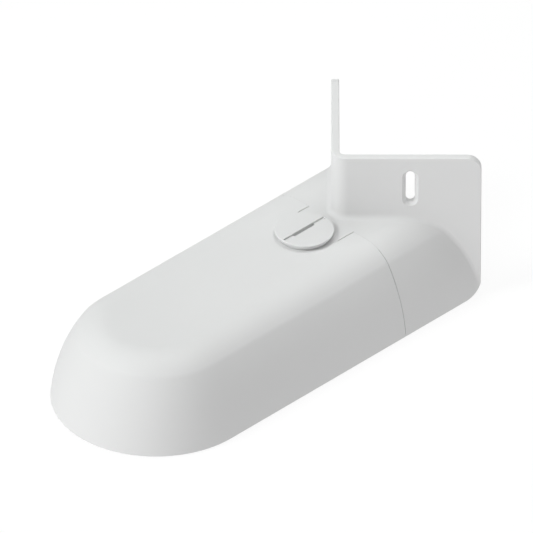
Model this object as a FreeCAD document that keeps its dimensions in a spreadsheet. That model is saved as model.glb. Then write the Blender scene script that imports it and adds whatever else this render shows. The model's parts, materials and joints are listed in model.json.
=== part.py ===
import FreeCAD, Part
import math
import os
import Sketcher
from FreeCAD import Placement, Rotation, Vector

# Wall battery unit for an outside building corner.
# Row frame: origin on the line where the two wall-side faces meet, at the bottom of the housing;
# +X runs along the right wall plate, +Y along the left one, +Z is up.
# Housing frame: x is the distance from the corner of the plates' front faces towards the nose,
# y is sideways, z is up. Every sub-part is drawn in the housing frame and carries its Placement.

SIZES = {
    # housing section
    "body_height": 45.7,
    "flat_half": 23.9,
    "shoulder_radius": 21.2,
    "shoulder_angle": 46.8,
    "crease_round": 8.0,
    "side_angle": 58.0,
    "side_radius": 83.9,
    "skin": 2.5,
    "nose_start": 123.15,
    "rear_reach": 56.0,
    "seam_gap": 0.3,
    "seam_close": 0.06,
    "seam_close_half": 33.0,
    "foot_round": 0.5,
    # wall plates
    "plate_thick": 4.0,
    "plate_width": 74.8,
    "plate_height": 82.35,
    "plate_corner": 7.5,
    "plate_spare": 10.0,
    "ridge_radius": 8.0,
    "crease_radius": 3.0,
    "web_fillet": 3.0,
    "edge_round": 0.5,
    "edge_round_rise": 4.0,
    "slot_half": 2.25,
    "slot_long": 18.2,
    "slot_bevel": 1.75,
    "slot_along": 39.3,
    "slot_up": 64.4,
    "hole_along": 22.0,
    "hole_up": 12.0,
    # spigot and seal
    "spigot_inset": 2.8,
    "spigot_thick": 1.8,
    "spigot_reach": 7.0,
    "spigot_gap_half": 18.5,
    "seal_start": 2.9,
    "seal_width": 2.0,
    "seal_inset": 2.7,
    "seal_thick": 1.2,
    # tongue, notch and lock
    "tongue_half": 15.6,
    "notch_half": 15.66,
    "notch_wide_half": 15.95,
    "notch_wide_end": 11.3,
    "tongue_root": 5.0,
    "lip_half": 16.9,
    "lip_top": 42.9,
    "tongue_under": 42.1,
    "lock_along": 19.0,
    "disk_radius": 15.35,
    "disk_foot_radius": 13.5,
    "disk_under": 45.9,
    "disk_top": 49.05,
    "disk_round": 0.5,
    "hub_radius": 8.0,
    "hub_bore": 8.3,
    "coin_length": 27.9,
    "coin_width": 2.2,
    "coin_depth": 1.0,
    "coin_deep_length": 14.4,
    "coin_deep": 3.2,
    "groove_radius": 6.8,
    "groove_low": 43.3,
    "groove_high": 44.9,
    "ring_wire": 0.6,
    "cam_top": 41.9,
    "cam_thick": 1.5,
    "cam_long": 20.0,
    "cam_half_width": 4.8,
    "stub_radius": 4.5,
    "stub_flat_half": 3.4,
    "lock_screw_radius": 1.5,
    "lock_screw_head": 2.9,
    "lock_screw_long": 3.6,
    "cam_eye_radius": 7.0,
    "catch_inner": 17.3,
    "catch_outer": 22.3,
    "catch_start": 9.2,
    "catch_end": 13.6,
    "catch_under": 39.2,
    "sweep_rear": 1.6,
    # battery tray
    "tray_start": 9.0,
    "tray_end": 145.5,
    "tray_wall": 2.5,
    "tray_front_wall": 2.0,
    "tray_under": 3.0,
    "tray_side_top": 22.0,
    "tray_half": 36.8,
    "tray_rear_top": 36.0,
    "tray_rear_half": 32.0,
    "tray_front_top": 33.0,
    "tray_front_half": 29.0,
    "channel_radius": 16.9,
    "tray_floor": 1.2,
    "window_start": 26.0,
    "window_step": 24.0,
    "window_long": 14.0,
    "window_half": 3.0,
    "tray_post_side": 6.0,
    "tray_post_low": 8.0,
    "tray_post_high": 31.0,
    "post_radius": 3.4,
    "screw_radius": 1.5,
    "screw_head_radius": 2.8,
    "screw_head_high": 1.8,
    "screw_long": 9.0,
    # cells
    "cell_side": 17.6,
    "cell_up": 20.6,
    "cell_radius": 16.5,
    "cell_body": 60.0,
    "nub_radius": 4.75,
    "nub_high": 1.5,
    "wrap_thick": 0.2,
    "wrap_long": 58.8,
    "plate_metal": 0.5,
    "contact_size": 17.0,
    "tab_half": 2.0,
    "tab_up": 13.0,
    "tab_reach": 4.0,
    "spring_radius": 7.0,
    "spring_wire": 0.55,
    "spring_turns": 3.0,
    "spring_room": 8.0,
    # output board
    "board_along": 27.0,
    "board_low": 5.0,
    "board_wide": 21.0,
    "board_high": 28.0,
    "board_thick": 1.6,
    "board_stand": 5.0,
    "board_screw_inset": 3.0,
    "board_post_radius": 2.2,
    "board_screw_radius": 1.1,
    "board_screw_long": 5.0,
    "board_screw_head": 1.98,
    "board_screw_head_high": 1.32,
    "pad_side": 2.5,
    "positive_pad_up": 22.0,
    "negative_pad_up": 27.0,
    "terminal_side": 8.0,
    "terminal_up": 1.0,
    "terminal_wide": 10.0,
    "terminal_deep": 9.0,
    "terminal_high": 8.5,
    "terminal_well": 1.7,
    "terminal_way_side": 2.7,
    "terminal_mouth_low": 1.275,
    "terminal_mouth_high": 2.55,
    "terminal_screw_up": 6.8,
    "terminal_screw_long": 2.55,
    "terminal_screw_head": 1.02,
    "fuse_side": 6.5,
    "fuse_up": 12.0,
    "fuse_rise": 1.0,
    "fuse_radius": 2.2,
    "fuse_long": 15.0,
    "clip_end": 0.6,
    "clip_wide": 3.0,
    "clip_wall": 0.4,
    "clip_rise": 1.2,
    "capacitor_side": 15.0,
    "capacitor_up": 15.5,
    "capacitor_radius": 3.15,
    "capacitor_high": 8.0,
    "chip_side": 10.3,
    "chip_up": 21.5,
    "chip_wide": 3.9,
    "chip_deep": 4.9,
    "chip_high": 1.5,
    "chip_stand": 0.15,
    "pin_first": 0.34,
    "pin_step": 1.27,
    "pin_wide": 0.41,
    "pin_reach": 0.8,
    "pin_high": 0.6,
    # cable grommet
    "grommet_along": -13.0,
    "grommet_side": -30.0,
    "grommet_bore": 3.0,
    "grommet_neck": 5.0,
    "grommet_flange": 7.2,
    "grommet_inner_flange": 6.6,
    "grommet_sink": 1.2,
    # leads
    "lead_radius": 0.6,
    "lead_end_run": 8.0,
}

WINDOW_COUNT = 5  # in each channel's floor
PIN_PAIRS = 4
RECESS_LONG = 1.1  # a screw's cross recess: long and wide in shares of the head's radius,
RECESS_WIDE = 0.28
RECESS_DEEP = 0.6  # and deep in shares of the head's height
BEND_SHARE = 0.45  # of the shorter run beside a lead's corner
# the leads' free points in the housing frame: where each leaves its line from the tab, and
# where the negative one crosses behind the tray
POSITIVE_BEND = 1.0
NEGATIVE_BEND = 1.4
NEGATIVE_CROSSING = [Vector(0.4, -4.0, 18.5), Vector(-0.5, 9.0, 21.5)]


class Size:
    """A length, with the expression that ties it to the sheet."""

    def __init__(self, value, text):
        self.value = value
        self.text = text

    def __add__(self, other):
        other = as_size(other)
        return Size(self.value + other.value, f"({self.text} + {other.text})")

    def __radd__(self, other):
        return as_size(other) + self

    def __sub__(self, other):
        other = as_size(other)
        return Size(self.value - other.value, f"({self.text} - {other.text})")

    def __rsub__(self, other):
        return as_size(other) - self

    def __mul__(self, other):
        other = as_size(other)
        return Size(self.value * other.value, f"({self.text} * {other.text})")

    def __rmul__(self, other):
        return as_size(other) * self

    def __truediv__(self, other):
        other = as_size(other)
        return Size(self.value / other.value, f"({self.text} / {other.text})")

    def __neg__(self):
        return Size(-self.value, f"(0 - {self.text})")


def as_size(number):
    return number if isinstance(number, Size) else Size(float(number), repr(float(number)))


def root(size):
    return Size(math.sqrt(size.value), f"sqrt({size.text})")


def sine(size):
    return Size(math.sin(math.radians(size.value)), f"sin({size.text})")


def cosine(size):
    return Size(math.cos(math.radians(size.value)), f"cos({size.text})")


doc = FreeCAD.newDocument("wall_battery_unit")
sheet = doc.addObject("Spreadsheet::Sheet", "Dims")
for row, (alias, number) in enumerate(SIZES.items(), start=1):
    sheet.set(f"A{row}", alias)
    sheet.set(f"B{row}", str(number))
    sheet.setAlias(f"B{row}", alias)
doc.recompute()


class Dims:
    """The sheet's cells by name."""

    def __getattr__(self, alias):
        return Size(float(sheet.get(alias)), f"Dims.{alias}")


d = Dims()
housing_frame = Placement(
    Vector(-d.plate_thick.value, -d.plate_thick.value, 0), Rotation(Vector(0, 0, 1), 225)
)
nodes = []

NO_INSET = as_size(0)
GROUND = as_size(0)
DIAGONAL = math.sqrt(2)
# turns: a piece drawn upright laid along the housing, a plan sketch with x along the right plate
# and y along the left one, and a wall sketch with x along the right plate and y up
UPRIGHT = Rotation()
ALONG = Rotation(Vector(0, 1, 0), 90)
ON_PLAN = Rotation(Vector(0, 0, 1), 135)
ON_WALL = ON_PLAN.multiply(Rotation(Vector(1, 0, 0), 90))


# ---- helpers: sketches and features --------------------------------------------------------------


def hand_in(shape_object, label):
    """Name a finished sub-part and stand it in the row frame."""
    shape_object.Label = label
    shape_object.Placement = housing_frame.multiply(shape_object.Placement)
    nodes.append(shape_object)
    return shape_object


def new_body(name):
    return doc.addObject("PartDesign::Body", name + "_body")


def sketch_on(body, role, turn=None, base=(0, 0, 0)):
    """A sketch on one of the body's origin planes, shifted by base and turned by turn."""
    sketch = body.newObject("Sketcher::SketchObject", "Sketch")
    plane = next(f for f in body.Origin.OriginFeatures if f.Role == role)
    sketch.AttachmentSupport = [(plane, "")]
    sketch.MapMode = "FlatFace"
    base = [as_size(b) for b in base]
    sketch.AttachmentOffset = Placement(
        Vector(*(b.value for b in base)), turn or Rotation()
    )
    for axis, b in zip("xyz", base):
        if b.value:
            sketch.setExpression(f"AttachmentOffset.Base.{axis}", b.text)
    return sketch


def place_point(sketch, edge, end, x, y):
    """Hold a point at x and y from the sketch's origin, each tied to the sheet."""
    for kind, axis, size in (("DistanceX", -2, as_size(x)), ("DistanceY", -1, as_size(y))):
        if abs(size.value) < 1e-9:
            sketch.addConstraint(Sketcher.Constraint("PointOnObject", edge, end, axis))
            continue
        number = sketch.addConstraint(
            Sketcher.Constraint(kind, -1, 1, edge, end, size.value)
        )
        sketch.setExpression(f"Constraints[{number}]", size.text)


def outline(sketch, points, arcs=None):
    """A closed outline. arcs gives {index: (radius, turn)} for the edge that leaves each point;
    turn is 1 where the arc runs anticlockwise and -1 where it runs clockwise."""
    arcs = arcs or {}
    spots = [Vector(as_size(x).value, as_size(y).value, 0) for x, y in points]
    first = sketch.GeometryCount
    count = len(spots)
    ends = []
    for i, start in enumerate(spots):
        stop = spots[(i + 1) % count]
        if i not in arcs:
            sketch.addGeometry(Part.LineSegment(start, stop))
            ends.append((1, 2))
            continue
        radius, turn = as_size(arcs[i][0]).value, arcs[i][1]
        half = (stop - start) / 2
        rise = math.sqrt(max(radius**2 - half.Length**2, 0))
        side = Vector(-half.y, half.x, 0).normalize() * rise * turn
        centre = start + half + side
        angle = [math.atan2(p.y - centre.y, p.x - centre.x) for p in (start, stop)]
        if turn < 0:
            angle.reverse()
        circle = Part.Circle(centre, Vector(0, 0, 1), radius)
        sketch.addGeometry(Part.ArcOfCircle(circle, *angle))
        ends.append((1, 2) if turn > 0 else (2, 1))
    for i in range(count):
        here, following = first + i, first + (i + 1) % count
        join = (here, ends[i][1], following, ends[(i + 1) % count][0])
        sketch.addConstraint(Sketcher.Constraint("Coincident", *join))
        place_point(sketch, here, ends[i][0], *points[i])
        if i in arcs:
            radius = as_size(arcs[i][0])
            number = sketch.addConstraint(Sketcher.Constraint("Radius", here, radius.value))
            sketch.setExpression(f"Constraints[{number}]", radius.text)
    return sketch


def rectangle(sketch, x0, x1, y0, y1):
    return outline(sketch, [(x0, y0), (x1, y0), (x1, y1), (x0, y1)])


def circle(sketch, x, y, radius):
    radius = as_size(radius)
    spot = Vector(as_size(x).value, as_size(y).value, 0)
    edge = sketch.addGeometry(Part.Circle(spot, Vector(0, 0, 1), radius.value))
    place_point(sketch, edge, 3, x, y)
    number = sketch.addConstraint(Sketcher.Constraint("Radius", edge, radius.value))
    sketch.setExpression(f"Constraints[{number}]", radius.text)
    return sketch


def stadium(sketch, x, y, half_width, half_length):
    """An upright slot with round ends, centred at x and y; each end is two quarter arcs."""
    reach = half_length - half_width
    points = [
        (x + half_width, y - reach),
        (x + half_width, y + reach),
        (x, y + half_length),
        (x - half_width, y + reach),
        (x - half_width, y - reach),
        (x, y - half_length),
    ]
    return outline(sketch, points, {i: (half_width, 1) for i in (1, 2, 4, 5)})


def bullet(sketch, start, centre, half):
    """A strip along x from start, with a half-round end about centre."""
    points = [(start, -half), (centre, -half), (centre + half, 0), (centre, half), (start, half)]
    return outline(sketch, points, {1: (half, 1), 2: (half, 1)})


def extrude(body, kind, sketch, length, grow):
    """A Pad or Pocket of the sketch, along its normal when grow is 1 and against it when -1."""
    before = body.Shape.Volume if body.Tip else 0.0
    length = as_size(length)
    feature = body.newObject(f"PartDesign::{kind}", kind)
    feature.Profile = sketch
    feature.Length = length.value
    feature.setExpression("Length", length.text)
    feature.Reversed = (grow < 0) == (kind == "Pad")
    doc.recompute()
    check_change(body, feature, before, kind == "Pad")
    return feature


def pad(body, sketch, length, grow=1):
    return extrude(body, "Pad", sketch, length, grow)


def pocket(body, sketch, length, grow=1):
    return extrude(body, "Pocket", sketch, length, grow)


def turned(body, kind, sketch, angle, reverse=False):
    """A Revolution or Groove about the sketch's vertical axis."""
    before = body.Shape.Volume if body.Tip else 0.0
    feature = body.newObject(f"PartDesign::{kind}", kind)
    feature.Profile = sketch
    feature.ReferenceAxis = (sketch, ["V_Axis"])
    feature.Angle = angle
    feature.Reversed = reverse
    doc.recompute()
    check_change(body, feature, before, kind == "Revolution")
    return feature


def check_change(body, feature, before, adds):
    change = body.Shape.Volume - before
    if (change > 0.01) != adds or (change < -0.01) == adds:
        raise RuntimeError(f"{body.Name}.{feature.Name} changed the volume by {change:.3f}")


def mirrored(body, features):
    """The features again on the other side of the housing's middle plane."""
    before = body.Shape.Volume
    plane = next(f for f in body.Origin.OriginFeatures if f.Role == "XZ_Plane")
    feature = body.newObject("PartDesign::Mirrored", "Mirrored")
    feature.Originals = features
    feature.MirrorPlane = (plane, [""])
    body.Tip = feature
    doc.recompute()
    if abs(body.Shape.Volume - before) < 0.01:
        raise RuntimeError(f"{body.Name}.{feature.Name} changed nothing")
    return feature


def dress_edges(body, kind, wanted, **size):
    """A Fillet or Chamfer of the edges that wanted(edge) picks, one feature for them all."""
    tip = body.Tip
    names = [f"Edge{i}" for i, e in enumerate(tip.Shape.Edges, start=1) if wanted(e)]
    feature = body.newObject(f"PartDesign::{kind}", kind)
    feature.Base = (tip, names)
    bind(feature, **size)
    doc.recompute()
    if not names or not feature.Shape.isValid() or "Invalid" in feature.State:
        raise RuntimeError(f"{body.Name}: {kind} of {len(names)} edges failed")
    return feature


def fillet(body, radius, wanted):
    return dress_edges(body, "Fillet", wanted, Radius=radius)


def chamfer(body, size, wanted):
    return dress_edges(body, "Chamfer", wanted, Size=size)


# ---- helpers: primitives and booleans ------------------------------------------------------------


def bind(feature, **sizes):
    """Set the feature's sizes and tie each one to the sheet."""
    for name, size in sizes.items():
        size = as_size(size)
        setattr(feature, name, size.value)
        feature.setExpression(name, size.text)
    return feature


def at(x, y, z, turn=None):
    spot = Vector(*(as_size(c).value for c in (x, y, z)))
    return Placement(spot, turn or Rotation())


def cylinder(radius, height, placement):
    feature = bind(doc.addObject("Part::Cylinder", "Cylinder"), Radius=radius, Height=height)
    feature.Placement = placement
    return feature


def block(length, width, height, placement):
    feature = bind(doc.addObject("Part::Box", "Box"), Length=length, Width=width, Height=height)
    feature.Placement = placement
    return feature


def fuse(*pieces):
    feature = doc.addObject("Part::MultiFuse", "Fusion")
    feature.Shapes = list(pieces)
    return feature


def cut(base, *tools):
    feature = doc.addObject("Part::Cut", "Cut")
    feature.Base = base
    feature.Tool = fuse(*tools) if len(tools) > 1 else tools[0]
    return feature


def group(*pieces):
    """Identical pieces that share one node."""
    feature = doc.addObject("Part::Compound", "Group")
    feature.Links = list(pieces)
    return feature


# ---- the housing's section -----------------------------------------------------------------------

# Three arcs, each tangent to the next: the shoulder down from the flat top, the tighter round of
# the crease, and the long side arc down to the foot. Angles are of the surface's normal from +Z.
shoulder_centre = (d.flat_half, d.body_height - d.shoulder_radius)


def moved(point, angle, distance):
    """The point moved by distance along the normal that leans by angle."""
    return point[0] + distance * sine(angle), point[1] + distance * cosine(angle)


round_centre = moved(shoulder_centre, d.shoulder_angle, d.shoulder_radius - d.crease_round)
side_centre = moved(round_centre, d.side_angle, d.crease_round - d.side_radius)


def half_width(inset, z):
    """Half the section's width at height z on the side arc, inset from the outside."""
    radius, drop = d.side_radius - inset, z - side_centre[1]
    return side_centre[0] + root(radius * radius - drop * drop)


def section_points(inset, floor):
    """The right half of the section from its foot up to the edge of the flat top."""
    return [
        (half_width(inset, floor), floor),
        moved(round_centre, d.side_angle, d.crease_round - inset),
        moved(shoulder_centre, d.shoulder_angle, d.shoulder_radius - inset),
        (d.flat_half, d.body_height - inset),
    ]


def section_arcs(inset):
    """The arcs that leave the first three of those points."""
    radii = (d.side_radius, d.crease_round, d.shoulder_radius)
    return {i: (radius - inset, 1) for i, radius in enumerate(radii)}


def section(sketch, inset, floor):
    """The whole closed section, inset by a wall's thickness."""
    right, arcs = section_points(inset, floor), section_arcs(inset)
    left = [(-y, z) for y, z in reversed(right)]
    last = len(right) + len(left) - 2
    mirrored_arcs = {last - i: arc for i, arc in arcs.items()}
    return outline(sketch, right + left, arcs | mirrored_arcs)


def half_section(sketch, inset, floor):
    """The right half of the section, closed along the middle line."""
    points = section_points(inset, floor) + [(0, d.body_height - inset), (0, floor)]
    return outline(sketch, points, section_arcs(inset))


# ---- front shell ---------------------------------------------------------------------------------


def make_front_shell():
    body = new_body("front_shell")
    gap = d.seam_close
    outer = sketch_on(body, "YZ_Plane", base=(0, 0, gap))
    pad(body, section(outer, NO_INSET, GROUND), d.nose_start - gap)
    nose = sketch_on(body, "YZ_Plane", base=(0, 0, d.nose_start))
    turned(body, "Revolution", half_section(nose, NO_INSET, GROUND), 180, reverse=True)
    inner = sketch_on(body, "YZ_Plane", base=(0, 0, gap))
    pocket(body, section(inner, d.skin, d.skin), d.nose_start - gap)
    hollow = sketch_on(body, "YZ_Plane", base=(0, 0, d.nose_start))
    turned(body, "Groove", half_section(hollow, d.skin, d.skin), 180, reverse=True)
    wider = sketch_on(body, "XY_Plane")
    near, far = d.seam_close_half, d.seam_close_half * 2
    rectangle(wider, -d.seam_gap, d.seam_gap, near, far)
    rectangle(wider, -d.seam_gap, d.seam_gap, -far, -near)
    pocket(body, wider, d.body_height)
    notch = sketch_on(body, "XY_Plane", base=(0, 0, d.catch_under))
    pocket(body, bullet(notch, -d.skin, d.lock_along, d.notch_half), d.plate_height)
    notch_sides = sketch_on(body, "XY_Plane", base=(0, 0, d.catch_under))
    half = d.notch_wide_half
    rectangle(notch_sides, -d.skin, d.notch_wide_end, -half, half)
    pocket(body, notch_sides, d.plate_height)
    catch = sketch_on(body, "XY_Plane", base=(0, 0, d.catch_under))
    rectangle(catch, d.catch_start, d.catch_end, d.catch_inner, d.catch_outer)
    pad(body, catch, d.body_height - d.skin / 2 - d.catch_under)
    fillet(body, d.foot_round, is_foot)
    return hand_in(body, "front_shell")


def is_foot(edge):
    """True for the housing's outer bottom edge."""
    box = edge.BoundBox
    outside = half_width(NO_INSET, GROUND).value
    reach = max(abs(box.YMin), abs(box.YMax), box.XMax - d.nose_start.value)
    return box.ZMax < 1e-6 and box.XLength > 1 and abs(reach - outside) < 1e-3


# ---- corner bracket ------------------------------------------------------------------------------
# Plan and wall sketches start from the corner of the plates' front faces.


def before_wall(depth):
    """The start of a wall sketch that stands this far in front of the right plate's face."""
    return (depth / DIAGONAL, depth / DIAGONAL, 0)


def along_plates(point):
    """A housing-frame point as distances along the right and the left plate."""
    return (point.y - point.x) / DIAGONAL, (-point.x - point.y) / DIAGONAL


def make_corner_bracket():
    body = new_body("corner_bracket")
    add_rear_housing(body)
    add_wall_plates(body)
    add_tongue(body)
    add_spigot(body)
    add_posts(body)
    cut_grommet_seat(body)
    chamfer(body, d.slot_bevel, is_slot_rim)
    fillet(body, d.edge_round, is_plate_edge)
    return hand_in(body, "corner_bracket")


def add_rear_housing(body):
    pad(body, section(sketch_on(body, "YZ_Plane"), NO_INSET, GROUND), d.rear_reach, -1)
    pocket(body, section(sketch_on(body, "YZ_Plane"), d.skin, d.skin), d.rear_reach, -1)
    wall = sketch_on(body, "XY_Plane", ON_PLAN)
    ridge, far = d.ridge_radius, d.rear_reach * 2
    points = [(ridge, 0), (far, 0), (far, far), (0, far), (0, ridge)]
    pocket(body, outline(wall, points, {4: (ridge, 1)}), d.body_height)


def add_wall_plates(body):
    """The two plates, first too wide, so that the fillet to the housing runs out past their ends."""
    plan = sketch_on(body, "XY_Plane", ON_PLAN)
    ridge, thick = d.ridge_radius, d.plate_thick
    bend, far = thick + d.crease_radius, d.plate_width + d.plate_spare
    points = [
        (ridge, 0),
        (far, 0),
        (far, thick),
        (bend, thick),
        (thick, bend),
        (thick, far),
        (0, far),
        (0, ridge),
    ]
    pad(body, outline(plan, points, {3: (d.crease_radius, -1), 7: (ridge, 1)}), d.plate_height)
    fillet(body, d.web_fillet, is_web_edge)
    behind = before_wall(-(thick + 1))
    slot = sketch_on(body, "XY_Plane", ON_WALL, behind)
    stadium(slot, d.slot_along, d.slot_up, d.slot_half, d.slot_long / 2)
    hole = sketch_on(body, "XY_Plane", ON_WALL, behind)
    circle(hole, d.hole_along, d.hole_up, d.slot_half)
    ends = pocket(body, plate_end(sketch_on(body, "XY_Plane", ON_WALL, behind)), d.rear_reach)
    trims = [ends, pocket(body, slot, thick + 2), pocket(body, hole, thick + 2)]
    mirrored(body, trims)


def plate_end(sketch):
    """Everything outside the plate's end and its two round corners."""
    wide, high, turn = d.plate_width, d.plate_height, d.plate_corner
    far, under, over = wide + d.plate_spare + 1, -1, high + 1
    points = [
        (wide - turn, 0),
        (wide, turn),
        (wide, high - turn),
        (wide - turn, high),
        (wide - turn, over),
        (far, over),
        (far, under),
        (wide - turn, under),
    ]
    return outline(sketch, points, {0: (turn, 1), 2: (turn, 1)})


def on_outside(point):
    """True where a housing-frame point is on the housing's outer surface."""
    y, z = abs(point.y), point.z
    arcs = (
        (side_centre, d.side_radius),
        (round_centre, d.crease_round),
        (shoulder_centre, d.shoulder_radius),
    )
    off = [abs(math.hypot(y - c[0].value, z - c[1].value) - radius.value) for c, radius in arcs]
    on_top = y <= d.flat_half.value + 1e-6 and abs(z - d.body_height.value) < 1e-5
    return on_top or min(off) < 1e-4


def is_web_edge(edge):
    """True where the housing's outer surface meets the plates' front faces."""
    first, last = edge.FirstParameter, edge.LastParameter
    ridge = d.ridge_radius.value
    for share in (0.1, 0.5, 0.9):
        point = edge.valueAt(first + (last - first) * share)
        right, left = along_plates(point)
        on_ridge = abs(math.hypot(right - ridge, left - ridge) - ridge) < 1e-4
        on_front = min(abs(right), abs(left)) < 1e-5 and max(right, left) >= ridge - 1e-5
        bent = on_ridge and max(right, left) <= ridge + 1e-5
        if not (on_outside(point) and (on_front or bent)):
            return False
    return True


def add_tongue(body):
    strip = sketch_on(body, "XY_Plane", base=(0, 0, d.tongue_under))
    bullet(strip, -d.tongue_root, d.lock_along, d.tongue_half)
    pad(body, strip, d.body_height - d.tongue_under)
    lip = sketch_on(body, "XY_Plane", base=(0, 0, d.tongue_under))
    bullet(lip, -d.skin, d.lock_along, d.lip_half)
    pad(body, lip, d.lip_top - d.tongue_under)
    bore = sketch_on(body, "XY_Plane", base=(0, 0, d.tongue_under))
    pocket(body, circle(bore, d.lock_along, 0, d.hub_bore), d.body_height - d.tongue_under)


def add_spigot(body):
    inner = d.spigot_inset + d.spigot_thick
    rear = -(d.spigot_thick * 2)
    for outer, front in ((d.skin - d.seam_gap, GROUND), (d.spigot_inset, d.spigot_reach)):
        ring = sketch_on(body, "YZ_Plane", base=(0, 0, rear))
        section(ring, outer, outer)
        section(ring, inner, inner)
        pad(body, ring, front - rear)
    groove = sketch_on(body, "YZ_Plane", base=(0, 0, d.seal_start))
    section(groove, d.spigot_inset - d.seam_gap, d.spigot_inset - d.seam_gap)
    seat = d.seal_inset + d.seal_thick
    section(groove, seat, seat)
    pocket(body, groove, d.seal_width)
    sweep = sketch_on(body, "XY_Plane", base=(0, 0, d.tongue_under))
    gap = d.spigot_gap_half
    rectangle(sweep, -d.sweep_rear, d.spigot_reach + 1, -gap, gap)
    pocket(body, sweep, d.spigot_thick * 2, -1)


def post_spots():
    side = d.tray_post_side
    return [(y, z) for y in (-side, side) for z in (d.tray_post_low, d.tray_post_high)]


def board_spots():
    inset = d.board_screw_inset
    low = (d.board_along + inset, d.board_low + inset)
    high = (d.board_along + d.board_wide - inset, d.board_low + d.board_high - inset)
    return [low, high]


def add_posts(body):
    start = -(d.ridge_radius - 1)
    posts = sketch_on(body, "YZ_Plane", base=(0, 0, start))
    pilots = sketch_on(body, "YZ_Plane", base=(0, 0, d.tray_start))
    for y, z in post_spots():
        circle(posts, y, z, d.post_radius)
        circle(pilots, y, z, d.screw_radius)
    pad(body, posts, d.tray_start - start)
    pocket(body, pilots, d.screw_long, -1)
    stands = sketch_on(body, "XY_Plane", ON_WALL)
    holes = sketch_on(body, "XY_Plane", ON_WALL, before_wall(d.board_stand))
    for x, z in board_spots():
        circle(stands, x, z, d.board_post_radius)
        circle(holes, x, z, d.board_screw_radius)
    pad(body, stands, d.board_stand)
    pocket(body, holes, d.board_stand, -1)


def cut_grommet_seat(body):
    spot = (d.grommet_along, d.grommet_side)
    pocket(body, circle(sketch_on(body, "XY_Plane"), *spot, d.grommet_neck), d.skin)
    pocket(body, circle(sketch_on(body, "XY_Plane"), *spot, d.grommet_flange), d.grommet_sink)


def is_slot_rim(edge):
    """True for the front rim of either screw slot."""
    ends = [along_plates(v.Point) + (v.Point.z,) for v in edge.Vertexes]
    reach = d.slot_long.value / 2 + 0.01
    half = d.slot_half.value + 0.01
    for far, near in ((0, 1), (1, 0)):
        if all(
            abs(e[near]) < 1e-5
            and abs(e[far] - d.slot_along.value) < half
            and abs(e[2] - d.slot_up.value) < reach
            for e in ends
        ):
            return True
    return False


def is_plate_edge(edge):
    """True for the outline of the plates' front and wall-side faces above the housing."""
    box = edge.BoundBox
    if box.ZMin < (d.body_height + d.edge_round_rise).value:
        return False
    ends = [along_plates(v.Point) for v in edge.Vertexes]
    wide, thick = d.plate_width.value, d.plate_thick.value
    on_top = box.ZLength < 1e-5 and abs(box.ZMax - d.plate_height.value) < 1e-5
    at_end = all(abs(max(e) - wide) < 1e-5 for e in ends) and box.ZLength > thick
    return on_top or at_end


# ---- coin lock and seal --------------------------------------------------------------------------


def screw(radius, length, head_radius, head_high, placement):
    """A pan head along +z from the origin, a shank along -z and a cross recess."""
    head = cylinder(head_radius, head_high, at(0, 0, 0))
    shank = cylinder(radius, length, at(0, 0, -length))
    long, wide, deep = head_radius * RECESS_LONG, head_radius * RECESS_WIDE, head_high * RECESS_DEEP
    low = head_high - deep
    bars = [
        block(long, wide, deep, at(-long / 2, -wide / 2, low)),
        block(wide, long, deep, at(-wide / 2, -long / 2, low)),
    ]
    feature = cut(fuse(head, shank), *bars)
    feature.Placement = placement
    return feature


def make_lock_knob():
    x, under, top = d.lock_along, d.disk_under, d.disk_top
    plain = doc.addObject("Part::Cone", "Cap")
    bind(plain, Radius1=d.disk_foot_radius, Radius2=d.disk_radius, Height=top - under)
    plain.Placement = at(x, 0, under)
    doc.recompute()
    disk = doc.addObject("Part::Fillet", "Disk")
    disk.Base = plain
    rim = [i for i, e in enumerate(plain.Shape.Edges, start=1) if e.BoundBox.ZMin > under.value + 1]
    disk.Edges = [(i, d.disk_round.value, d.disk_round.value) for i in rim]
    hub = cylinder(d.hub_radius, under - d.cam_top, at(x, 0, d.cam_top))
    stub_low = d.cam_top - d.cam_thick
    stub_round = cylinder(d.stub_radius, d.cam_thick, at(x, 0, stub_low))
    flat, wide = d.stub_flat_half, d.stub_radius
    stub_flats = block(wide * 2, flat * 2, d.cam_thick, at(x - wide, -flat, stub_low))
    stub = doc.addObject("Part::MultiCommon", "Stub")
    stub.Shapes = [stub_round, stub_flats]
    groove_high = d.groove_high - d.groove_low
    groove = cut(
        cylinder(d.hub_bore, groove_high, at(x, 0, d.groove_low)),
        cylinder(d.groove_radius, groove_high, at(x, 0, d.groove_low)),
    )
    slots = []
    for long, deep in ((d.coin_length, d.coin_depth), (d.coin_deep_length, d.coin_deep)):
        corner = at(x - long / 2, -d.coin_width / 2, top - deep)
        slots.append(block(long, d.coin_width, deep, corner))
    pilot = cylinder(d.lock_screw_radius, d.lock_screw_long, at(x, 0, stub_low))
    return hand_in(cut(fuse(disk, hub, stub), groove, pilot, *slots), "lock_knob")


def make_lock_o_ring():
    ring = doc.addObject("Part::Torus", "Ring")
    bind(ring, Radius1=d.groove_radius + d.ring_wire, Radius2=d.ring_wire)
    ring.Placement = at(d.lock_along, 0, (d.groove_low + d.groove_high) / 2)
    return hand_in(ring, "lock_o_ring")


def make_lock_cam():
    body = new_body("lock_cam")
    base = (d.lock_along, 0, d.cam_top - d.cam_thick)
    bar = sketch_on(body, "XY_Plane", base=base)
    bullet(bar, 0, d.cam_long - d.cam_half_width, d.cam_half_width)
    pad(body, bar, d.cam_thick)
    pad(body, circle(sketch_on(body, "XY_Plane", base=base), 0, 0, d.cam_eye_radius), d.cam_thick)
    flat = d.stub_flat_half
    chord = root(d.stub_radius * d.stub_radius - flat * flat)
    points = [(flat, -chord), (flat, chord), (-flat, chord), (-flat, -chord)]
    hole = sketch_on(body, "XY_Plane", Rotation(Vector(0, 0, 1), 90), base)
    outline(hole, points, {1: (d.stub_radius, 1), 3: (d.stub_radius, 1)})
    pocket(body, hole, d.cam_thick)
    return hand_in(body, "lock_cam")


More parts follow.
